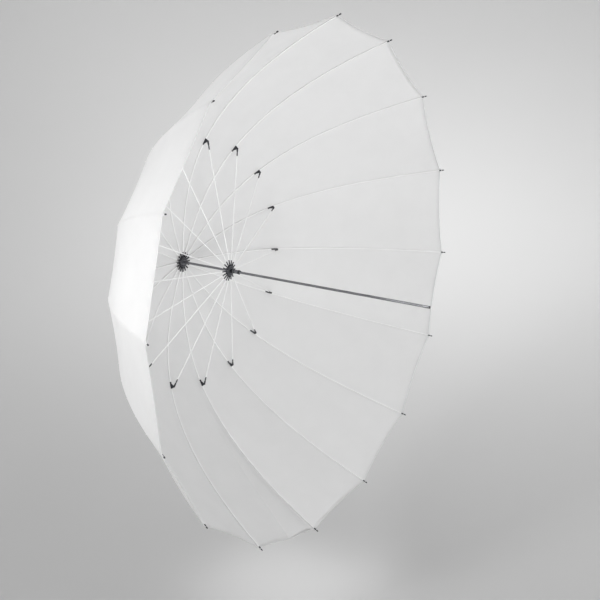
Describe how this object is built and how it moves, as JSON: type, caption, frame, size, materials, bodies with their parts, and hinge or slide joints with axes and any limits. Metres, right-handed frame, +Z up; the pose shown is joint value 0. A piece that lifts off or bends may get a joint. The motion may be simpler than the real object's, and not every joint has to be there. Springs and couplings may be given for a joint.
{
  "type": "umbrella reflector",
  "caption": "Deep white translucent studio umbrella with glass fibre ribs and stretchers on a steel shaft, open; it folds by sliding the runner to the free end",
  "frame": {"origin": "on the shaft axis where a stand bracket grips it, 676 mm from the plane of the crown pivots", "axes": "+Y runs along the shaft to the crown, the mouth of the canopy faces -Y, +Z is up and +X is right when looking along +Y"},
  "size_m": [1.6484, 0.9686, 1.6484],
  "materials": {
    "shaft_steel": "satin nickel plated tube",
    "dark_metal": "gunmetal plating",
    "spring_steel": "drawn wire",
    "glass_fibre": "white glass fibre rod, satin",
    "black_plastic": "moulded",
    "canopy_fabric": "translucent white nylon"
  },
  "bodies": {
    "shaft": {"shaft_tube": "shaft_steel", "shaft_end_cap": "black_plastic", "finial_cap": "black_plastic", "canopy_rosette": "canopy_fabric", "canopy": "canopy_fabric", "crown_hub": "dark_metal", "crown_wire": "spring_steel", "catch_spring": "spring_steel"},
    "runner": {"runner_hub": "dark_metal", "runner_sleeve": "dark_metal", "runner_wire": "spring_steel"},
    "catch": {"catch_lever": "dark_metal"},
    "rib_01": {"rib_inner_01": "glass_fibre"},
    "rib_end_01": {"rib_outer_01": "glass_fibre"},
    "strut_01": {"stretcher_01": "glass_fibre"},
    "rib_02": {"rib_inner_02": "glass_fibre"},
    "rib_end_02": {"rib_outer_02": "glass_fibre"},
    "strut_02": {"stretcher_02": "glass_fibre"},
    "rib_03": {"rib_inner_03": "glass_fibre"},
    "rib_end_03": {"rib_outer_03": "glass_fibre"},
    "strut_03": {"stretcher_03": "glass_fibre"},
    "rib_04": {"rib_inner_04": "glass_fibre"},
    "rib_end_04": {"rib_outer_04": "glass_fibre"},
    "strut_04": {"stretcher_04": "glass_fibre"},
    "rib_05": {"rib_inner_05": "glass_fibre"},
    "rib_end_05": {"rib_outer_05": "glass_fibre"},
    "strut_05": {"stretcher_05": "glass_fibre"},
    "rib_06": {"rib_inner_06": "glass_fibre"},
    "rib_end_06": {"rib_outer_06": "glass_fibre"},
    "strut_06": {"stretcher_06": "glass_fibre"},
    "rib_07": {"rib_inner_07": "glass_fibre"},
    "rib_end_07": {"rib_outer_07": "glass_fibre"},
    "strut_07": {"stretcher_07": "glass_fibre"},
    "rib_08": {"rib_inner_08": "glass_fibre"},
    "rib_end_08": {"rib_outer_08": "glass_fibre"},
    "strut_08": {"stretcher_08": "glass_fibre"},
    "rib_09": {"rib_inner_09": "glass_fibre"},
    "rib_end_09": {"rib_outer_09": "glass_fibre"},
    "strut_09": {"stretcher_09": "glass_fibre"},
    "rib_10": {"rib_inner_10": "glass_fibre"},
    "rib_end_10": {"rib_outer_10": "glass_fibre"},
    "strut_10": {"stretcher_10": "glass_fibre"},
    "rib_11": {"rib_inner_11": "glass_fibre"},
    "rib_end_11": {"rib_outer_11": "glass_fibre"},
    "strut_11": {"stretcher_11": "glass_fibre"},
    "rib_12": {"rib_inner_12": "glass_fibre"},
    "rib_end_12": {"rib_outer_12": "glass_fibre"},
    "strut_12": {"stretcher_12": "glass_fibre"},
    "rib_13": {"rib_inner_13": "glass_fibre"},
    "rib_end_13": {"rib_outer_13": "glass_fibre"},
    "strut_13": {"stretcher_13": "glass_fibre"},
    "rib_14": {"rib_inner_14": "glass_fibre"},
    "rib_end_14": {"rib_outer_14": "glass_fibre"},
    "strut_14": {"stretcher_14": "glass_fibre"},
    "rib_15": {"rib_inner_15": "glass_fibre"},
    "rib_end_15": {"rib_outer_15": "glass_fibre"},
    "strut_15": {"stretcher_15": "glass_fibre"},
    "rib_16": {"rib_inner_16": "glass_fibre"},
    "rib_end_16": {"rib_outer_16": "glass_fibre"},
    "strut_16": {"stretcher_16": "glass_fibre"}
  },
  "joints": [
    {"name": "rib_01_fold", "type": "hinge", "parent": "shaft", "child": "rib_01", "pos_m": [0.00092, 0.676, 0.01397], "axis": [0.9979, 0, -0.0654], "range_deg": [0, 75]},
    {"name": "rib_01_flex", "type": "hinge", "parent": "rib_01", "child": "rib_end_01", "pos_m": [0.02802, 0.58074, 0.42744], "axis": [0.9979, 0, -0.0654], "range_deg": [-38.5, 0]},
    {"name": "strut_01_pivot", "type": "hinge", "parent": "rib_01", "child": "strut_01", "pos_m": [0.0274, 0.57422, 0.41804], "axis": [0.9979, 0, -0.0654], "range_deg": [-150, 0]},
    {"name": "rib_02_fold", "type": "hinge", "parent": "shaft", "child": "rib_02", "pos_m": [0.00619, 0.676, 0.01256], "axis": [0.8969, 0, -0.4423], "range_deg": [0, 75]},
    {"name": "rib_02_flex", "type": "hinge", "parent": "rib_02", "child": "rib_end_02", "pos_m": [0.18946, 0.58074, 0.38419], "axis": [0.8969, 0, -0.4423], "range_deg": [-38.5, 0]},
    {"name": "strut_02_pivot", "type": "hinge", "parent": "rib_02", "child": "strut_02", "pos_m": [0.18529, 0.57422, 0.37573], "axis": [0.8969, 0, -0.4423], "range_deg": [-150, 0]},
    {"name": "rib_03_fold", "type": "hinge", "parent": "shaft", "child": "rib_03", "pos_m": [0.01053, 0.676, 0.00923], "axis": [0.6593, 0, -0.7518], "range_deg": [0, 75]},
    {"name": "rib_03_flex", "type": "hinge", "parent": "rib_03", "child": "rib_end_03", "pos_m": [0.32206, 0.58074, 0.28244], "axis": [0.6593, 0, -0.7518], "range_deg": [-38.5, 0]},
    {"name": "strut_03_pivot", "type": "hinge", "parent": "rib_03", "child": "strut_03", "pos_m": [0.31497, 0.57422, 0.27622], "axis": [0.6593, 0, -0.7518], "range_deg": [-150, 0]},
    {"name": "rib_04_fold", "type": "hinge", "parent": "shaft", "child": "rib_04", "pos_m": [0.01326, 0.676, 0.0045], "axis": [0.3214, 0, -0.9469], "range_deg": [0, 75]},
    {"name": "rib_04_flex", "type": "hinge", "parent": "rib_04", "child": "rib_end_04", "pos_m": [0.40563, 0.58074, 0.13769], "axis": [0.3214, 0, -0.9469], "range_deg": [-38.5, 0]},
    {"name": "strut_04_pivot", "type": "hinge", "parent": "rib_04", "child": "strut_04", "pos_m": [0.3967, 0.57422, 0.13466], "axis": [0.3214, 0, -0.9469], "range_deg": [-150, 0]},
    {"name": "rib_05_fold", "type": "hinge", "parent": "shaft", "child": "rib_05", "pos_m": [0.01397, 0.676, -0.00092], "axis": [-0.0654, 0, -0.9979], "range_deg": [0, 75]},
    {"name": "rib_05_flex", "type": "hinge", "parent": "rib_05", "child": "rib_end_05", "pos_m": [0.42744, 0.58074, -0.02802], "axis": [-0.0654, 0, -0.9979], "range_deg": [-38.5, 0]},
    {"name": "strut_05_pivot", "type": "hinge", "parent": "rib_05", "child": "strut_05", "pos_m": [0.41804, 0.57422, -0.0274], "axis": [-0.0654, 0, -0.9979], "range_deg": [-150, 0]},
    {"name": "rib_06_fold", "type": "hinge", "parent": "shaft", "child": "rib_06", "pos_m": [0.01256, 0.676, -0.00619], "axis": [-0.4423, 0, -0.8969], "range_deg": [0, 75]},
    {"name": "rib_06_flex", "type": "hinge", "parent": "rib_06", "child": "rib_end_06", "pos_m": [0.38419, 0.58074, -0.18946], "axis": [-0.4423, 0, -0.8969], "range_deg": [-38.5, 0]},
    {"name": "strut_06_pivot", "type": "hinge", "parent": "rib_06", "child": "strut_06", "pos_m": [0.37573, 0.57422, -0.18529], "axis": [-0.4423, 0, -0.8969], "range_deg": [-150, 0]},
    {"name": "rib_07_fold", "type": "hinge", "parent": "shaft", "child": "rib_07", "pos_m": [0.00923, 0.676, -0.01053], "axis": [-0.7518, 0, -0.6593], "range_deg": [0, 75]},
    {"name": "rib_07_flex", "type": "hinge", "parent": "rib_07", "child": "rib_end_07", "pos_m": [0.28244, 0.58074, -0.32206], "axis": [-0.7518, 0, -0.6593], "range_deg": [-38.5, 0]},
    {"name": "strut_07_pivot", "type": "hinge", "parent": "rib_07", "child": "strut_07", "pos_m": [0.27622, 0.57422, -0.31497], "axis": [-0.7518, 0, -0.6593], "range_deg": [-150, 0]},
    {"name": "rib_08_fold", "type": "hinge", "parent": "shaft", "child": "rib_08", "pos_m": [0.0045, 0.676, -0.01326], "axis": [-0.9469, 0, -0.3214], "range_deg": [0, 75]},
    {"name": "rib_08_flex", "type": "hinge", "parent": "rib_08", "child": "rib_end_08", "pos_m": [0.13769, 0.58074, -0.40563], "axis": [-0.9469, 0, -0.3214], "range_deg": [-38.5, 0]},
    {"name": "strut_08_pivot", "type": "hinge", "parent": "rib_08", "child": "strut_08", "pos_m": [0.13466, 0.57422, -0.3967], "axis": [-0.9469, 0, -0.3214], "range_deg": [-150, 0]},
    {"name": "rib_09_fold", "type": "hinge", "parent": "shaft", "child": "rib_09", "pos_m": [-0.00092, 0.676, -0.01397], "axis": [-0.9979, 0, 0.0654], "range_deg": [0, 75]},
    {"name": "rib_09_flex", "type": "hinge", "parent": "rib_09", "child": "rib_end_09", "pos_m": [-0.02802, 0.58074, -0.42744], "axis": [-0.9979, 0, 0.0654], "range_deg": [-38.5, 0]},
    {"name": "strut_09_pivot", "type": "hinge", "parent": "rib_09", "child": "strut_09", "pos_m": [-0.0274, 0.57422, -0.41804], "axis": [-0.9979, 0, 0.0654], "range_deg": [-150, 0]},
    {"name": "rib_10_fold", "type": "hinge", "parent": "shaft", "child": "rib_10", "pos_m": [-0.00619, 0.676, -0.01256], "axis": [-0.8969, 0, 0.4423], "range_deg": [0, 75]},
    {"name": "rib_10_flex", "type": "hinge", "parent": "rib_10", "child": "rib_end_10", "pos_m": [-0.18946, 0.58074, -0.38419], "axis": [-0.8969, 0, 0.4423], "range_deg": [-38.5, 0]},
    {"name": "strut_10_pivot", "type": "hinge", "parent": "rib_10", "child": "strut_10", "pos_m": [-0.18529, 0.57422, -0.37573], "axis": [-0.8969, 0, 0.4423], "range_deg": [-150, 0]},
    {"name": "rib_11_fold", "type": "hinge", "parent": "shaft", "child": "rib_11", "pos_m": [-0.01053, 0.676, -0.00923], "axis": [-0.6593, 0, 0.7518], "range_deg": [0, 75]},
    {"name": "rib_11_flex", "type": "hinge", "parent": "rib_11", "child": "rib_end_11", "pos_m": [-0.32206, 0.58074, -0.28244], "axis": [-0.6593, 0, 0.7518], "range_deg": [-38.5, 0]},
    {"name": "strut_11_pivot", "type": "hinge", "parent": "rib_11", "child": "strut_11", "pos_m": [-0.31497, 0.57422, -0.27622], "axis": [-0.6593, 0, 0.7518], "range_deg": [-150, 0]},
    {"name": "rib_12_fold", "type": "hinge", "parent": "shaft", "child": "rib_12", "pos_m": [-0.01326, 0.676, -0.0045], "axis": [-0.3214, 0, 0.9469], "range_deg": [0, 75]},
    {"name": "rib_12_flex", "type": "hinge", "parent": "rib_12", "child": "rib_end_12", "pos_m": [-0.40563, 0.58074, -0.13769], "axis": [-0.3214, 0, 0.9469], "range_deg": [-38.5, 0]},
    {"name": "strut_12_pivot", "type": "hinge", "parent": "rib_12", "child": "strut_12", "pos_m": [-0.3967, 0.57422, -0.13466], "axis": [-0.3214, 0, 0.9469], "range_deg": [-150, 0]},
    {"name": "rib_13_fold", "type": "hinge", "parent": "shaft", "child": "rib_13", "pos_m": [-0.01397, 0.676, 0.00092], "axis": [0.0654, 0, 0.9979], "range_deg": [0, 75]},
    {"name": "rib_13_flex", "type": "hinge", "parent": "rib_13", "child": "rib_end_13", "pos_m": [-0.42744, 0.58074, 0.02802], "axis": [0.0654, 0, 0.9979], "range_deg": [-38.5, 0]},
    {"name": "strut_13_pivot", "type": "hinge", "parent": "rib_13", "child": "strut_13", "pos_m": [-0.41804, 0.57422, 0.0274], "axis": [0.0654, 0, 0.9979], "range_deg": [-150, 0]},
    {"name": "rib_14_fold", "type": "hinge", "parent": "shaft", "child": "rib_14", "pos_m": [-0.01256, 0.676, 0.00619], "axis": [0.4423, 0, 0.8969], "range_deg": [0, 75]},
    {"name": "rib_14_flex", "type": "hinge", "parent": "rib_14", "child": "rib_end_14", "pos_m": [-0.38419, 0.58074, 0.18946], "axis": [0.4423, 0, 0.8969], "range_deg": [-38.5, 0]},
    {"name": "strut_14_pivot", "type": "hinge", "parent": "rib_14", "child": "strut_14", "pos_m": [-0.37573, 0.57422, 0.18529], "axis": [0.4423, 0, 0.8969], "range_deg": [-150, 0]},
    {"name": "rib_15_fold", "type": "hinge", "parent": "shaft", "child": "rib_15", "pos_m": [-0.00923, 0.676, 0.01053], "axis": [0.7518, 0, 0.6593], "range_deg": [0, 75]},
    {"name": "rib_15_flex", "type": "hinge", "parent": "rib_15", "child": "rib_end_15", "pos_m": [-0.28244, 0.58074, 0.32206], "axis": [0.7518, 0, 0.6593], "range_deg": [-38.5, 0]},
    {"name": "strut_15_pivot", "type": "hinge", "parent": "rib_15", "child": "strut_15", "pos_m": [-0.27622, 0.57422, 0.31497], "axis": [0.7518, 0, 0.6593], "range_deg": [-150, 0]},
    {"name": "rib_16_fold", "type": "hinge", "parent": "shaft", "child": "rib_16", "pos_m": [-0.0045, 0.676, 0.01326], "axis": [0.9469, 0, 0.3214], "range_deg": [0, 75]},
    {"name": "rib_16_flex", "type": "hinge", "parent": "rib_16", "child": "rib_end_16", "pos_m": [-0.13769, 0.58074, 0.40563], "axis": [0.9469, 0, 0.3214], "range_deg": [-38.5, 0]},
    {"name": "strut_16_pivot", "type": "hinge", "parent": "rib_16", "child": "strut_16", "pos_m": [-0.13466, 0.57422, 0.3967], "axis": [0.9469, 0, 0.3214], "range_deg": [-150, 0]},
    {"name": "runner_slide", "type": "hinge", "parent": "strut_01", "child": "runner", "pos_m": [0.00092, 0.47245, 0.01397], "axis": [0.9979, 0, -0.0654], "range_deg": [0, 75]},
    {"name": "catch_press", "type": "hinge", "parent": "shaft", "child": "catch", "pos_m": [0, 0.40585, 0.00115], "axis": [-1, 0, 0], "range_deg": [0, 6], "stiffness_Nm_per_rad": 0.4, "springref_deg": -2.86, "deforming": ["catch_spring"]}
  ],
  "couplings": [
    {"joint": "rib_01_flex", "follows": "rib_01_fold", "ratio": -0.51},
    {"joint": "strut_01_pivot", "follows": "rib_01_fold", "ratio": -2},
    {"joint": "rib_02_fold", "follows": "rib_01_fold", "ratio": 1},
    {"joint": "rib_02_flex", "follows": "rib_01_fold", "ratio": -0.51},
    {"joint": "strut_02_pivot", "follows": "rib_01_fold", "ratio": -2},
    {"joint": "rib_03_fold", "follows": "rib_01_fold", "ratio": 1},
    {"joint": "rib_03_flex", "follows": "rib_01_fold", "ratio": -0.51},
    {"joint": "strut_03_pivot", "follows": "rib_01_fold", "ratio": -2},
    {"joint": "rib_04_fold", "follows": "rib_01_fold", "ratio": 1},
    {"joint": "rib_04_flex", "follows": "rib_01_fold", "ratio": -0.51},
    {"joint": "strut_04_pivot", "follows": "rib_01_fold", "ratio": -2},
    {"joint": "rib_05_fold", "follows": "rib_01_fold", "ratio": 1},
    {"joint": "rib_05_flex", "follows": "rib_01_fold", "ratio": -0.51},
    {"joint": "strut_05_pivot", "follows": "rib_01_fold", "ratio": -2},
    {"joint": "rib_06_fold", "follows": "rib_01_fold", "ratio": 1},
    {"joint": "rib_06_flex", "follows": "rib_01_fold", "ratio": -0.51},
    {"joint": "strut_06_pivot", "follows": "rib_01_fold", "ratio": -2},
    {"joint": "rib_07_fold", "follows": "rib_01_fold", "ratio": 1},
    {"joint": "rib_07_flex", "follows": "rib_01_fold", "ratio": -0.51},
    {"joint": "strut_07_pivot", "follows": "rib_01_fold", "ratio": -2},
    {"joint": "rib_08_fold", "follows": "rib_01_fold", "ratio": 1},
    {"joint": "rib_08_flex", "follows": "rib_01_fold", "ratio": -0.51},
    {"joint": "strut_08_pivot", "follows": "rib_01_fold", "ratio": -2},
    {"joint": "rib_09_fold", "follows": "rib_01_fold", "ratio": 1},
    {"joint": "rib_09_flex", "follows": "rib_01_fold", "ratio": -0.51},
    {"joint": "strut_09_pivot", "follows": "rib_01_fold", "ratio": -2},
    {"joint": "rib_10_fold", "follows": "rib_01_fold", "ratio": 1},
    {"joint": "rib_10_flex", "follows": "rib_01_fold", "ratio": -0.51},
    {"joint": "strut_10_pivot", "follows": "rib_01_fold", "ratio": -2},
    {"joint": "rib_11_fold", "follows": "rib_01_fold", "ratio": 1},
    {"joint": "rib_11_flex", "follows": "rib_01_fold", "ratio": -0.51},
    {"joint": "strut_11_pivot", "follows": "rib_01_fold", "ratio": -2},
    {"joint": "rib_12_fold", "follows": "rib_01_fold", "ratio": 1},
    {"joint": "rib_12_flex", "follows": "rib_01_fold", "ratio": -0.51},
    {"joint": "strut_12_pivot", "follows": "rib_01_fold", "ratio": -2},
    {"joint": "rib_13_fold", "follows": "rib_01_fold", "ratio": 1},
    {"joint": "rib_13_flex", "follows": "rib_01_fold", "ratio": -0.51},
    {"joint": "strut_13_pivot", "follows": "rib_01_fold", "ratio": -2},
    {"joint": "rib_14_fold", "follows": "rib_01_fold", "ratio": 1},
    {"joint": "rib_14_flex", "follows": "rib_01_fold", "ratio": -0.51},
    {"joint": "strut_14_pivot", "follows": "rib_01_fold", "ratio": -2},
    {"joint": "rib_15_fold", "follows": "rib_01_fold", "ratio": 1},
    {"joint": "rib_15_flex", "follows": "rib_01_fold", "ratio": -0.51},
    {"joint": "strut_15_pivot", "follows": "rib_01_fold", "ratio": -2},
    {"joint": "rib_16_fold", "follows": "rib_01_fold", "ratio": 1},
    {"joint": "rib_16_flex", "follows": "rib_01_fold", "ratio": -0.51},
    {"joint": "strut_16_pivot", "follows": "rib_01_fold", "ratio": -2},
    {"joint": "runner_slide", "follows": "rib_01_fold", "ratio": 1}
  ]
}
